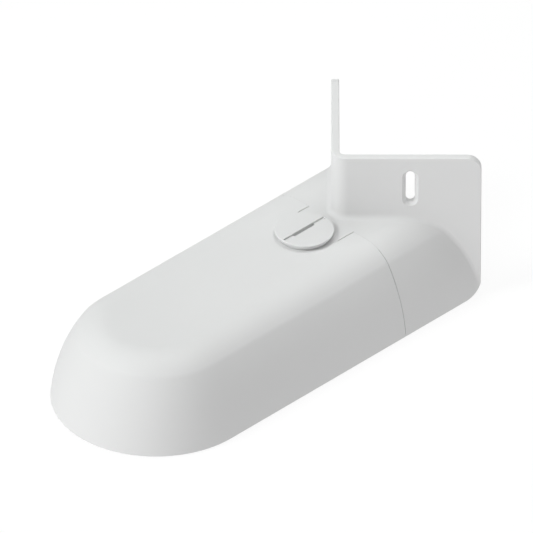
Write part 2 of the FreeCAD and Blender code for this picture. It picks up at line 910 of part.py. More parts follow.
def make_lock_cam_screw():
    down = Rotation(Vector(1, 0, 0), 180)
    seat = at(d.lock_along, 0, d.cam_top - d.cam_thick, down)
    sizes = (d.lock_screw_radius, d.lock_screw_long, d.lock_screw_head, d.screw_head_high)
    return hand_in(screw(*sizes, seat), "lock_cam_screw")


def make_housing_seal():
    body = new_body("housing_seal")
    ring = sketch_on(body, "YZ_Plane", base=(0, 0, d.seal_start))
    inner = d.seal_inset + d.seal_thick
    section(ring, d.seal_inset, d.seal_inset)
    section(ring, inner, inner)
    pad(body, ring, d.seal_width)
    gap = d.spigot_gap_half + d.seam_gap
    opening = sketch_on(body, "XY_Plane", base=(0, 0, d.catch_under))
    rectangle(opening, 0, d.spigot_reach, -gap, gap)
    pocket(body, opening, d.skin * 2)
    return hand_in(body, "housing_seal")


# ---- battery tray, cells and contacts ------------------------------------------------------------


def make_battery_tray():
    body = new_body("battery_tray")
    low, rear, front = d.tray_under, d.tray_start, d.tray_end
    inside_rear, inside_front = rear + d.tray_wall, front - d.tray_front_wall
    plan = sketch_on(body, "XY_Plane", base=(0, 0, low))
    rectangle(plan, rear, front, -d.tray_half, d.tray_half)
    pad(body, plan, d.tray_side_top - low)
    walls = (
        (rear, d.tray_wall, d.tray_rear_half, d.tray_rear_top),
        (inside_front, d.tray_front_wall, d.tray_front_half, d.tray_front_top),
    )
    for start, thick, half, top in walls:
        wall = sketch_on(body, "YZ_Plane", base=(0, 0, start))
        pad(body, rectangle(wall, -half, half, low, top), thick)
    channels = sketch_on(body, "YZ_Plane", base=(0, 0, inside_rear))
    for side in (-d.cell_side, d.cell_side):
        circle(channels, side, d.cell_up, d.channel_radius)
    pocket(body, channels, inside_front - inside_rear)
    chambers = sketch_on(body, "XY_Plane", base=(0, 0, low + d.tray_floor))
    half = d.tray_rear_half
    rectangle(chambers, inside_rear, inside_rear + d.spring_room, -half, half)
    rectangle(chambers, inside_front - d.plate_metal * 2, inside_front, -half, half)
    pocket(body, chambers, d.tray_rear_top)
    windows = sketch_on(body, "XY_Plane", base=(0, 0, low))
    for i in range(WINDOW_COUNT):
        start = d.window_start + d.window_step * i
        for side in (-d.cell_side, d.cell_side):
            sides = (side - d.window_half, side + d.window_half)
            rectangle(windows, start, start + d.window_long, *sides)
    pocket(body, windows, d.tray_floor * 2)
    holes = sketch_on(body, "YZ_Plane", base=(0, 0, rear))
    for y, z in post_spots():
        circle(holes, y, z, d.screw_radius)
    for side in (-d.cell_side, d.cell_side):
        sides = (side - d.tab_half - d.seam_gap, side + d.tab_half + d.seam_gap)
        rectangle(holes, *sides, d.tab_up - d.seam_gap, d.tab_up + d.plate_metal + d.seam_gap)
    pocket(body, holes, d.tray_wall)
    return hand_in(body, "battery_tray")


def make_tray_screws():
    sizes = (d.screw_radius, d.screw_long, d.screw_head_radius, d.screw_head_high)
    seat = d.tray_start + d.tray_wall
    pieces = [screw(*sizes, at(seat, y, z, ALONG)) for y, z in post_spots()]
    return hand_in(group(*pieces), "tray_screws")


def make_cells():
    """Two columns of two round cells in series; the columns point opposite ways, and each has a
    spring at the flat end."""
    rear = d.tray_start + d.tray_wall + d.plate_metal
    long = d.cell_body + d.nub_high
    number = 0
    for side, nub_first in ((-d.cell_side, False), (d.cell_side, True)):
        start = rear if nub_first else rear + d.spring_room
        for place in range(2):
            number += 1
            low = start + long * place
            can_start = low + d.nub_high if nub_first else low
            nub_start = low if nub_first else low + d.cell_body
            can = cylinder(d.cell_radius, d.cell_body, at(can_start, side, d.cell_up, ALONG))
            nub = cylinder(d.nub_radius, d.nub_high, at(nub_start, side, d.cell_up, ALONG))
            hand_in(fuse(can, nub), f"battery_cell_{number}")
            wrap_start = can_start + (d.cell_body - d.wrap_long) / 2
            spot = at(wrap_start, side, d.cell_up, ALONG)
            outer = cylinder(d.cell_radius + d.wrap_thick, d.wrap_long, spot)
            hand_in(cut(outer, cylinder(d.cell_radius, d.wrap_long, spot)), f"cell_wrap_{number}")


def make_rear_plates():
    """A square plate behind each column, with a solder tab through the tray's rear wall."""
    face = d.tray_start + d.tray_wall
    half = d.contact_size / 2
    for side, label in ((-d.cell_side, "rear_negative_plate"), (d.cell_side, "rear_positive_plate")):
        spot = at(face, side - half, d.cell_up - half)
        plate = block(d.plate_metal, d.contact_size, d.contact_size, spot)
        reach = d.tray_wall + d.tab_reach
        tab_spot = at(face - reach, side - d.tab_half, d.tab_up)
        tab = block(reach, d.tab_half * 2, d.plate_metal, tab_spot)
        hand_in(fuse(plate, tab), label)


def make_front_bridge_plate():
    half = d.contact_size / 2
    reach = d.cell_side + half
    spot = at(d.tray_end - d.tray_front_wall - d.plate_metal, -reach, d.cell_up - half)
    plate = block(d.plate_metal, reach * 2, d.contact_size, spot)
    return hand_in(plate, "front_bridge_plate")


def make_spring(label, start, side):
    """A coil spring along the housing, between a contact plate and a cell's flat end."""
    wire, coil = d.spring_wire, d.spring_radius
    height = d.spring_room - wire * 2
    helix = bind(doc.addObject("Part::Helix", "Coil"), Height=height, Radius=coil)
    bind(helix, Pitch=height / d.spring_turns)
    helix.SegmentLength = 1
    ring = bind(doc.addObject("Part::Circle", "Wire"), Radius=wire)
    ring.Placement = Placement(Vector(coil.value, 0, 0), Rotation(Vector(1, 0, 0), 90))
    spring = doc.addObject("Part::Sweep", "Spring")
    spring.Sections = [ring]
    spring.Spine = (helix, [])
    spring.Solid = True
    spring.Frenet = True
    spring.Placement = at(start + wire, side, d.cell_up, ALONG)
    return hand_in(spring, label)


# ---- output board --------------------------------------------------------------------------------


def on_wall(x, z, depth):
    """x along the right plate, z up and depth in front of its face; local z points off the plate."""
    x, z, depth = (as_size(c) for c in (x, z, depth))
    return at((depth - x) / DIAGONAL, (x + depth) / DIAGONAL, z, ON_WALL)


def make_output_board():
    face = on_wall(d.board_along, d.board_low, d.board_stand)
    board = block(d.board_wide, d.board_high, d.board_thick, face)
    holes = [
        cylinder(d.board_screw_radius, d.board_thick, on_wall(x, z, d.board_stand))
        for x, z in board_spots()
    ]
    return hand_in(cut(board, *holes), "output_board")


def make_board_screws():
    sizes = (d.board_screw_radius, d.board_screw_long, d.board_screw_head, d.board_screw_head_high)
    seat = d.board_stand + d.board_thick
    pieces = [screw(*sizes, on_wall(x, z, seat)) for x, z in board_spots()]
    return hand_in(group(*pieces), "board_screws")


def make_terminals():
    """A two-way screw terminal: wire mouths in its underside, a screw over each."""
    seat = d.board_stand + d.board_thick
    x, z, high = d.board_along + d.terminal_side, d.board_low + d.terminal_up, d.terminal_high
    body = block(d.terminal_wide, d.terminal_deep, high, on_wall(x, z, seat))
    middle = z + d.terminal_deep / 2
    well = d.terminal_well
    screw_sizes = (d.board_screw_radius, d.terminal_screw_long, well, d.terminal_screw_head)
    wells, mouths, screws = [], [], []
    for way in (x + d.terminal_way_side, x + d.terminal_wide - d.terminal_way_side):
        wells.append(cylinder(well, high / 2, on_wall(way, middle, seat + high / 2)))
        corner = on_wall(way - well, z, seat + d.terminal_mouth_low)
        mouths.append(block(well * 2, d.terminal_deep / 2, d.terminal_mouth_high, corner))
        top = on_wall(way, middle, seat + d.terminal_screw_up)
        screws.append(screw(*screw_sizes, top))
    hand_in(cut(body, *wells, *mouths), "terminal_block")
    hand_in(group(*screws), "terminal_screws")


def make_fuse():
    """A glass fuse standing up the board, in a spring clip at each end."""
    seat = d.board_stand + d.board_thick
    x, z, axis = d.board_along + d.fuse_side, d.board_low + d.fuse_up, seat + d.fuse_radius + d.fuse_rise
    hand_in(cylinder(d.fuse_radius, d.fuse_long, Placement(on_wall(x, z, axis).Base, UPRIGHT)), "fuse")
    half = d.fuse_radius + d.clip_wall
    clips = []
    for low in (z + d.clip_end, z + d.fuse_long - d.clip_end - d.clip_wide):
        clip = block(half * 2, d.clip_wide, half + d.clip_rise, on_wall(x - half, low, seat))
        spot = Placement(on_wall(x, low, axis).Base, UPRIGHT)
        clips.append(cut(clip, cylinder(d.fuse_radius, d.clip_wide, spot)))
    hand_in(group(*clips), "fuse_clips")


def make_capacitor():
    seat = d.board_stand + d.board_thick
    spot = on_wall(d.board_along + d.capacitor_side, d.board_low + d.capacitor_up, seat)
    can = cylinder(d.capacitor_radius, d.capacitor_high, spot)
    return hand_in(can, "capacitor")


def make_control_chip():
    seat = d.board_stand + d.board_thick
    x, z, wide = d.board_along + d.chip_side, d.board_low + d.chip_up, d.chip_wide
    body = block(wide, d.chip_deep, d.chip_high, on_wall(x, z, seat + d.chip_stand))
    pins = []
    for i in range(PIN_PAIRS):
        corner = on_wall(x - d.pin_reach, z + d.pin_first + d.pin_step * i, seat)
        pins.append(block(wide + d.pin_reach * 2, d.pin_wide, d.pin_high, corner))
    return hand_in(fuse(body, *pins), "control_chip")


# ---- grommet and leads ---------------------------------------------------------------------------


def make_cable_grommet():
    x, y = d.grommet_along, d.grommet_side
    flange, neck = d.grommet_flange, d.grommet_neck
    levels = [
        (flange, GROUND, d.grommet_sink),
        (neck, d.grommet_sink, d.skin),
        (d.grommet_inner_flange, d.skin, d.skin + d.grommet_sink),
    ]
    rings = [cylinder(radius, high - low, at(x, y, low)) for radius, low, high in levels]
    bore = cylinder(d.grommet_bore, d.skin + d.grommet_sink, at(x, y, 0))
    return hand_in(cut(fuse(*rings), bore), "cable_grommet")


def lead_path(points):
    """Straight runs joined by tangent arcs, each arc as large as its two runs allow."""
    edges, start = [], points[0]
    for before, corner, after in zip(points, points[1:], points[2:]):
        into, away = corner - before, after - corner
        turn = into.getAngle(away)
        trim = BEND_SHARE * min(into.Length, away.Length)
        radius = trim / math.tan(turn / 2)
        into.normalize()
        away.normalize()
        arc_start, arc_end = corner - into * trim, corner + away * trim
        inward = (away - into).normalize()
        middle = corner + inward * (radius / math.cos(turn / 2) - radius)
        edges.append(Part.LineSegment(start, arc_start).toShape())
        edges.append(Part.Arc(arc_start, middle, arc_end).toShape())
        print(f"lead arc radius {radius:.1f}")
        start = arc_end
    edges.append(Part.LineSegment(start, points[-1]).toShape())
    return Part.Wire(edges)


def make_lead(label, points):
    radius = d.lead_radius.value
    path = lead_path(points)
    heading = points[1] - points[0]
    profile = Part.Wire([Part.Circle(points[0], heading, radius).toShape()])
    lead = doc.addObject("Part::Feature", label)
    lead.Shape = path.makePipeShell([profile], True, True)
    ratio = lead.Shape.Volume / (math.pi * radius**2 * path.Length)
    if abs(ratio - 1) > 0.01:
        raise RuntimeError(f"{label} has {ratio:.3f} times the volume of its route")
    return hand_in(lead, label)


def pad_run(up):
    """The last two points of a lead, straight on to its pad on the board."""
    x = d.board_along + d.pad_side
    face = d.board_stand + d.board_thick
    return [on_wall(x, up, face + d.lead_end_run).Base, on_wall(x, up, face).Base]


def make_leads():
    """From each rear plate's solder tab to its pad on the board."""
    side = d.cell_side.value
    up = (d.tab_up + d.plate_metal + d.lead_radius).value
    start = (d.tray_start - d.seam_gap).value
    positive = [Vector(start, side, up), Vector(POSITIVE_BEND, side, up)]
    make_lead("positive_lead", positive + pad_run(d.positive_pad_up))
    negative = [Vector(start, -side, up), Vector(NEGATIVE_BEND, -side, up)]
    make_lead("negative_lead", negative + NEGATIVE_CROSSING + pad_run(d.negative_pad_up))


# ---- the whole unit ------------------------------------------------------------------------------


def check_document():
    doc.recompute()
    for feature in doc.Objects:
        if "Invalid" in feature.State or "Error" in feature.State:
            raise RuntimeError(f"{feature.Name} failed: {feature.State}")
    for node in nodes:
        if node.Shape.isNull() or not node.Shape.isValid() or not node.Shape.Solids:
            raise RuntimeError(f"{node.Label} has no valid solid")


def main():
    make_corner_bracket()
    make_front_shell()
    make_lock_knob()
    make_lock_o_ring()
    make_lock_cam()
    make_lock_cam_screw()
    make_housing_seal()
    make_battery_tray()
    make_tray_screws()
    make_cells()
    make_rear_plates()
    make_front_bridge_plate()
    rear_face = d.tray_start + d.tray_wall + d.plate_metal
    front_face = d.tray_end - d.tray_front_wall - d.plate_metal
    make_spring("rear_spring", rear_face, -d.cell_side)
    make_spring("front_spring", front_face - d.spring_room, d.cell_side)
    make_output_board()
    make_board_screws()
    make_terminals()
    make_fuse()
    make_capacitor()
    make_control_chip()
    make_cable_grommet()
    make_leads()
    check_document()
    os.makedirs("parts", exist_ok=True)
    for node in nodes:
        node.Shape.exportStep(f"parts/{node.Label}.step")
    print(len(nodes), "sub-parts written")


main()
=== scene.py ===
import json
import math

import bmesh
import bpy
from mathutils import Matrix, Vector


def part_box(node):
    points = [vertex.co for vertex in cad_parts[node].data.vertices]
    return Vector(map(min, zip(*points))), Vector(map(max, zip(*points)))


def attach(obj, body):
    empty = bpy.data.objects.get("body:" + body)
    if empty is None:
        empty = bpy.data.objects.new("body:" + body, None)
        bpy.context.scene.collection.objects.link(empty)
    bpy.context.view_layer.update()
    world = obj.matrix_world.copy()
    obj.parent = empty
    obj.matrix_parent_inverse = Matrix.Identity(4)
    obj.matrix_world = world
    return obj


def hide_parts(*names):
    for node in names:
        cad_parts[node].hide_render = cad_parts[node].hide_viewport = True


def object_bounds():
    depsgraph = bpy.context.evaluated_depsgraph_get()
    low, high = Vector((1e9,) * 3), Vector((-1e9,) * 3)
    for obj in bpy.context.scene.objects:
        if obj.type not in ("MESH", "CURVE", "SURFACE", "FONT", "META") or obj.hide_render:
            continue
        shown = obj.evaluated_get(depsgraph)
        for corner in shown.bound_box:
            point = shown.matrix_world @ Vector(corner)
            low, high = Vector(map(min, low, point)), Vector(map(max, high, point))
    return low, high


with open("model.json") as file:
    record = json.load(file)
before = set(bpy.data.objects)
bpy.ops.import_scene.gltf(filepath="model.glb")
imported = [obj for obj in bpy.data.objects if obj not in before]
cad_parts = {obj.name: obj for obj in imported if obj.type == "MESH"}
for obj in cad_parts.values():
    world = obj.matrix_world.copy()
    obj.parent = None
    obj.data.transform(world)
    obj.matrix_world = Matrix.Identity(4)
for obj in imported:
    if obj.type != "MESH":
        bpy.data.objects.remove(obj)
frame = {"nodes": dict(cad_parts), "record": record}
cad_low, cad_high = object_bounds()
nodes = frame["nodes"]


def new_object(name, data):
    made = bpy.data.objects.new(name, data)
    bpy.context.scene.collection.objects.link(made)
    return made


def look_along(thing, place, direction):
    """Stands a camera or a light at place, facing along direction."""
    thing.location = place
    thing.rotation_mode = "QUATERNION"
    thing.rotation_quaternion = direction.to_track_quat("-Z", "Y")


# ---- camera: a long lens from far away, so the view is nearly parallel ---------------------------

SENSOR_MM = 36.0
LENS_MM = 1400.0
VIEW_WIDTH = 0.2665
VIEW_TILT = math.radians(35.264)
AIM = Vector((-0.0364, -0.004, 0.0166))
CLIP_BEFORE = 1.0
CLIP_BEHIND = 5.0


def make_camera():
    """Looks along +Y and down, at the height and side that frame the unit."""
    distance = VIEW_WIDTH * LENS_MM / SENSOR_MM
    back = Vector((0, -math.cos(VIEW_TILT), math.sin(VIEW_TILT)))
    data = bpy.data.cameras.new("camera")
    data.lens = LENS_MM
    data.sensor_width = SENSOR_MM
    data.clip_start = distance - CLIP_BEFORE
    data.clip_end = distance + CLIP_BEHIND
    camera = new_object("camera", data)
    look_along(camera, AIM + back * distance, -back)
    bpy.context.scene.camera = camera


# ---- light and floor -----------------------------------------------------------------------------

HORIZON = 1.0
ZENITH = 0.05
HORIZON_LOW = 0.02
HORIZON_HIGH = 0.15
FLOOR_GREY = 0.15
FLOOR_GLOW = 0.86
FLOOR_HALF = 6.0
FLOOR_GAP = 0.0005
COOL = (0.98, 1.0, 0.99)
COLD = (0.985, 0.995, 1.0)
NEUTRAL = (1.0, 1.0, 1.0)
LIGHTS = {
    # name: direction to it, distance, level on a facing surface, width in degrees, colour
    "key": ((-0.383, -0.136, 0.45), 3.0, 0.52, 24.0, COOL),
    "left_fill": ((-0.85, -0.25, 0.3), 3.0, 0.14, 24.0, COLD),
    "front_fill": ((-0.25, -0.9, 0.35), 3.0, 0.22, 24.0, NEUTRAL),
    "top": ((0.08, 0.16, 0.75), 0.75, 0.48, 45.0, COOL),
    "right_fill": ((0.5, -0.1, 0.45), 0.5, 0.08, 45.0, NEUTRAL),
    "rear": ((0.45, 0.45, 0.55), 3.0, 0.12, 30.0, NEUTRAL),
}


def area_light(name, direction, distance, level, width, colour):
    """A disk light that gives a facing surface at the object's middle this level."""
    to_light = Vector(direction).normalized()
    data = bpy.data.lights.new(name, "AREA")
    data.shape = "DISK"
    data.size = 2 * distance * math.tan(math.radians(width / 2))
    # the disk's area cancels: a wider disk is less bright, and lights the object as much
    data.energy = level * math.pi**2 * distance**2
    data.color = colour
    middle = (cad_low + cad_high) / 2
    look_along(new_object(name, data), middle + to_light * distance, -to_light)


def make_world():
    """A soft studio dome: white at the horizon, dim overhead."""
    world = bpy.data.worlds.new("studio")
    world.use_nodes = True
    tree = world.node_tree
    coords = tree.nodes.new("ShaderNodeTexCoord")
    parts = tree.nodes.new("ShaderNodeSeparateXYZ")
    tree.links.new(coords.outputs["Generated"], parts.inputs["Vector"])
    strength = remap(tree, parts.outputs["Z"], HORIZON_LOW, HORIZON_HIGH, HORIZON, ZENITH)
    background = tree.nodes["Background"]
    background.inputs["Color"].default_value = (1, 1, 1, 1)
    tree.links.new(strength, background.inputs["Strength"])
    bpy.context.scene.world = world


def make_floor():
    """A pale sheet just under the object, so bright that it shows as plain white."""
    half, low = FLOOR_HALF, cad_low.z - FLOOR_GAP
    corners = [(-half, -half, low), (half, -half, low), (half, half, low), (-half, half, low)]
    mesh = bpy.data.meshes.new("floor")
    mesh.from_pydata(corners, [], [(0, 1, 2, 3)])
    grey = (FLOOR_GREY, FLOOR_GREY, FLOOR_GREY)
    paper = new_material("floor_paper", grey, 1.0, Specular_IOR_Level=0.0, Emission_Strength=FLOOR_GLOW)
    paper.node_tree.nodes["Principled BSDF"].inputs["Emission Color"].default_value = (1, 1, 1, 1)
    mesh.materials.append(paper)
    new_object("floor", mesh)


def make_stage():
    bpy.context.scene.view_settings.view_transform = "Standard"
    make_world()
    make_floor()
    for name, facts in LIGHTS.items():
        area_light(name, *facts)


# ---- materials -----------------------------------------------------------------------------------

# the sockets of a Mix node that mixes colours
MIX_FIRST = 6
MIX_SECOND = 7
MIX_RESULT = 2
GRAIN_SCALE = 2600
GRAIN_STRENGTH = 0.35
FLOW_SCALE = 22
FLOW_LOW = 0.3
FLOW_HIGH = 0.7
GLOSS_CHANGE = 0.04
LINE_SCALE = 900
LINE_STRENGTH = 0.25
LINE_DEPTH = 0.00002
LINE_SHADE = 0.8
LINE_LOW = 0.2
LINE_HIGH = 0.8
LINE_SMOOTHER = 0.08
LINE_ROUGHER = 0.1


def new_material(name, colour, roughness, **sockets):
    material = bpy.data.materials.new(name)
    material.use_nodes = True
    shader = material.node_tree.nodes["Principled BSDF"]
    shader.inputs["Base Color"].default_value = (*colour, 1)
    shader.inputs["Roughness"].default_value = roughness
    for socket, value in sockets.items():
        shader.inputs[socket.replace("_", " ")].default_value = value
    return material


def texture(tree, scale, detail, rough, stretch=(1, 1, 1)):
    """A noise in object space, so it needs no UVs and stays put in every view."""
    coords = tree.nodes.new("ShaderNodeTexCoord")
    mapping = tree.nodes.new("ShaderNodeMapping")
    mapping.inputs["Scale"].default_value = stretch
    noise = tree.nodes.new("ShaderNodeTexNoise")
    noise.inputs["Scale"].default_value = scale
    noise.inputs["Detail"].default_value = detail
    noise.inputs["Roughness"].default_value = rough
    tree.links.new(coords.outputs["Object"], mapping.inputs["Vector"])
    tree.links.new(mapping.outputs["Vector"], noise.inputs["Vector"])
    return noise.outputs["Fac"]


def remap(tree, value, low, high, to_low, to_high):
    node = tree.nodes.new("ShaderNodeMapRange")
    node.inputs["From Min"].default_value = low
    node.inputs["From Max"].default_value = high
    node.inputs["To Min"].default_value = to_low
    node.inputs["To Max"].default_value = to_high
    tree.links.new(value, node.inputs["Value"])
    return node.outputs["Result"]


def tint(tree, value, dark, light):
    mix = tree.nodes.new("ShaderNodeMix")
    mix.data_type = "RGBA"
    mix.inputs[MIX_FIRST].default_value = (*dark, 1)
    mix.inputs[MIX_SECOND].default_value = (*light, 1)
    tree.links.new(value, mix.inputs["Factor"])
    return mix.outputs[MIX_RESULT]


def bump(tree, height, strength, distance):
    node = tree.nodes.new("ShaderNodeBump")
    node.inputs["Strength"].default_value = strength
    node.inputs["Distance"].default_value = distance
    tree.links.new(height, node.inputs["Height"])
    return node.outputs["Normal"]


def scaled(colour, factor):
    return tuple(c * factor for c in colour)


def moulded(name, colour, roughness, grain=0.00002, variation=0.03, **sockets):
    """Moulded plastic: fine spark-eroded grain, a faint flow mottle and slightly uneven gloss."""
    material = new_material(name, colour, roughness, **sockets)
    tree = material.node_tree
    shader = tree.nodes["Principled BSDF"]
    fine = texture(tree, GRAIN_SCALE, detail=2, rough=0.6)
    flow = texture(tree, FLOW_SCALE, detail=3, rough=0.5)
    mottle = remap(tree, flow, FLOW_LOW, FLOW_HIGH, 0, 1)
    tree.links.new(tint(tree, mottle, scaled(colour, 1 - variation), colour), shader.inputs["Base Color"])
    gloss = remap(tree, flow, FLOW_LOW, FLOW_HIGH, roughness - GLOSS_CHANGE, roughness + GLOSS_CHANGE)
    tree.links.new(gloss, shader.inputs["Roughness"])
    tree.links.new(bump(tree, fine, GRAIN_STRENGTH, grain), shader.inputs["Normal"])
    return material


def brushed(name, colour, roughness, stretch):
    """Rolled or drawn metal with fine lines along one direction."""
    material = new_material(name, colour, roughness, Metallic=1.0)
    tree = material.node_tree
    shader = tree.nodes["Principled BSDF"]
    lines = texture(tree, LINE_SCALE, detail=3, rough=0.6, stretch=stretch)
    tree.links.new(tint(tree, lines, scaled(colour, LINE_SHADE), colour), shader.inputs["Base Color"])
    smooth, rough = roughness - LINE_SMOOTHER, roughness + LINE_ROUGHER
    gloss = remap(tree, lines, LINE_LOW, LINE_HIGH, smooth, rough)
    tree.links.new(gloss, shader.inputs["Roughness"])
    tree.links.new(bump(tree, lines, LINE_STRENGTH, LINE_DEPTH), shader.inputs["Normal"])
    return material


WHITE = (0.71, 0.71, 0.71)
materials = {
    "housing_plastic": moulded("white_plastic", WHITE, 0.6, variation=0.015, Specular_IOR_Level=0.35),
    "tray_plastic": moulded("tray_plastic", (0.028, 0.03, 0.033), 0.55),
    "rubber": moulded("black_rubber", (0.012, 0.012, 0.013), 0.75, grain=0.00004),
    "steel": brushed("zinc_steel", (0.55, 0.55, 0.53), 0.35, (1, 1, 0.1)),
    "contact_metal": brushed("nickel_strip", (0.68, 0.66, 0.6), 0.28, (1, 1, 0.08)),
    "cell_metal": brushed("cell_can", (0.7, 0.69, 0.66), 0.25, (0.1, 1, 1)),
    "cell_wrap": moulded("cell_film", (0.008, 0.07, 0.2), 0.25, grain=0.00001, variation=0.1),
    "board_laminate": moulded("green_board", (0.008, 0.09, 0.035), 0.35, variation=0.25),
    "terminal_plastic": moulded("green_nylon", (0.02, 0.22, 0.07), 0.4),
    "fuse_glass": moulded("fuse_glass", (0.85, 0.9, 0.88), 0.08, grain=0.000005, Transmission_Weight=0.9),
    "capacitor_sleeve": moulded("dark_film", (0.012, 0.015, 0.035), 0.3),
    "chip_plastic": moulded("chip_black", (0.012, 0.012, 0.013), 0.6),
    "lead_red": moulded("red_insulation", (0.45, 0.012, 0.008), 0.4),
    "lead_black": moulded("black_insulation", (0.01, 0.01, 0.01), 0.4),
}
card = moulded("white_card", (0.55, 0.54, 0.5), 0.85, grain=0.00004, variation=0.12)


def finish_nodes():
    """Every node of the frame gets its slot's material."""
    for part in frame["record"]["subparts"]:
        mesh = nodes[part["node"]].data
        mesh.materials.clear()
        mesh.materials.append(materials[part["material_slot"]])


# ---- pieces: helpers -----------------------------------------------------------------------------
# Profiles, outlines and the sizes of pieces are in mm, and everything in the frame is in metres.

MM = 0.001
FORWARD = Vector((-1, -1, 0)).normalized()
UP = Vector((0, 0, 1))
OFF_WALL = Vector((0, -1, 0))
RIGHT = Vector((1, 0, 0))
ROUND_STEPS = 96
BLOCK_SEGMENTS = 2
QUARTERS = (0, 0.25, 0.5, 0.75, 1)
SHARP_DEGREES = 40
# what keeps the faces of touching pieces apart
CLEAR = 0.01


def corners(node):
    return [Vector(corner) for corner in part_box(node)]


def facing(place, axis, roll=UP):
    """A matrix that stands at place with its z along axis and its x near roll."""
    side = roll - axis * roll.dot(axis)
    if side.length < 1e-6:
        side = FORWARD.copy()
    side.normalize()
    across = axis.cross(side)
    return Matrix.Translation(place) @ Matrix((side, across, axis)).transposed().to_4x4()


def ring_of(mesh, points, height):
    return [mesh.verts.new((x * MM, y * MM, height * MM)) for x, y in points]


def band(mesh, lower, upper):
    """Adds the faces between two closed rings with as many points."""
    for i in range(len(lower)):
        j = (i + 1) % len(lower)
        mesh.faces.new((lower[i], lower[j], upper[j], upper[i]))


def circle(x, y, radius, steps):
    turns = [math.tau * step / steps for step in range(steps)]
    return [(x + radius * math.cos(turn), y + radius * math.sin(turn)) for turn in turns]


def rounded_corner(radius, height, turn):
    """Profile points round an outer corner, from the side to the top."""
    angles = [math.pi / 2 * share for share in QUARTERS]
    return [
        (radius - turn + turn * math.cos(angle), height - turn + turn * math.sin(angle))
        for angle in angles
    ]


def lathe(profile, place, steps=ROUND_STEPS):
    """The closed outline profile, as (radius, height) points, turned about place's z axis."""
    mesh = bmesh.new()
    rings = []
    for step in range(steps):
        across, along = math.cos(math.tau * step / steps), math.sin(math.tau * step / steps)
        rings.append([mesh.verts.new((r * across * MM, r * along * MM, h * MM)) for r, h in profile])
    for ring, following in zip(rings, rings[1:] + rings[:1]):
        band(mesh, following, ring)
    bmesh.ops.remove_doubles(mesh, verts=mesh.verts, dist=1e-7)
    bmesh.ops.dissolve_degenerate(mesh, edges=mesh.edges, dist=1e-8)
    mesh.transform(place)
    return mesh


def add_block(target, low, high, radius, place):
    """Adds a block with rounded edges to target, with its corners in place's frame."""
    block = bmesh.new()
    bmesh.ops.create_cube(block, size=1)
    size = [(b - a) * MM for a, b in zip(low, high)]
    middle = [(a + b) / 2 * MM for a, b in zip(low, high)]
    bmesh.ops.scale(block, vec=size, verts=block.verts)
    bmesh.ops.translate(block, vec=middle, verts=block.verts)
    edges = block.edges[:]
    bmesh.ops.bevel(
        block, geom=edges, offset=radius * MM, segments=BLOCK_SEGMENTS, profile=0.5, affect="EDGES"
    )
    block.transform(place)
    copies = {v: target.verts.new(v.co) for v in block.verts}
    for face in block.faces:
        target.faces.new([copies[v] for v in face.verts])
    block.free()


def add_piece(name, mesh, slot, material=None):
    """Makes the piece, rides it on its body and gives it its slot's material, or the material given."""
    bmesh.ops.recalc_face_normals(mesh, faces=mesh.faces)
    for face in mesh.faces:
        face.smooth = True
    for edge in mesh.edges:
        if len(edge.link_faces) == 2 and edge.calc_face_angle(0) > math.radians(SHARP_DEGREES):
            edge.smooth = False
    data = bpy.data.meshes.new(name)
    mesh.to_mesh(data)
    mesh.free()
    data.materials.append(material or materials[slot])
    piece = new_object(name, data)
    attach(piece, "wall_bracket")
    return piece


# ---- pieces: cells -------------------------------------------------------------------------------

LIP_REACH = 1.7
LIP_THICK = 0.12
RING_INNER = 5.6
RING_OUTER = 13.8
RING_THICK = 0.3


def round_bar(node):
    """The middle, radius and length in mm of a round node that lies along the housing."""
    low, high = corners(node)
    size = (high - low) / MM
    radius = size.z / 2
    # the box of a level cylinder along axis is length * |x| + 2 * radius * |y| wide in x
    length = (size.x - 2 * radius * abs(FORWARD.y)) / abs(FORWARD.x)
    return (low + high) / 2, radius, length


def make_cell_trim(number):
    """The film's shrunk lip over each end of the can, and the card ring round the nub."""
    wrap_middle, wrap_radius, wrap_long = round_bar(f"cell_wrap_{number}")
    cell_middle, can_radius, cell_long = round_bar(f"battery_cell_{number}")
    # the nub makes the cell longer than its can, so its middle lies on the nub's side
    to_nub = cell_middle - wrap_middle
    nub_way = FORWARD if to_nub.dot(FORWARD) > 0 else -FORWARD
    nub_high = 2 * to_nub.length / MM
    face = (cell_long - nub_high) / 2 + CLEAR
    under = can_radius + CLEAR
    lip_inner = wrap_radius - LIP_REACH
    lip = [
        (under, wrap_long / 2),
        (wrap_radius, wrap_long / 2),
        *rounded_corner(wrap_radius, face + LIP_THICK, LIP_THICK * 2),
        (lip_inner, face + LIP_THICK),
        (lip_inner, face),
        (under, face),
    ]
    for way, label in ((nub_way, "nub"), (-nub_way, "flat")):
        add_piece(f"film_lip_{number}_{label}", lathe(lip, facing(wrap_middle, way)), "cell_wrap")
    ring = [
        (RING_INNER, face),
        (RING_OUTER, face),
        (RING_OUTER, face + RING_THICK),
        (RING_INNER, face + RING_THICK),
    ]
    add_piece(f"nub_ring_{number}", lathe(ring, facing(wrap_middle, nub_way)), "cell_wrap", card)


# ---- pieces: fuse --------------------------------------------------------------------------------

CAP_LONG = 4.0
CAP_WALL = 0.2
# the cap's dished end, as shares of its radius and distances below its top
CAP_END = [(0, 0.35), (0.55, 0.35), (0.7, 0.08), (0.86, 0), (0.96, 0.1), (1, 0.35)]
GLASS_WALL = 0.35
GLASS_INSET = 0.5
WIRE_RADIUS = 0.12
WIRE_STEPS = 16


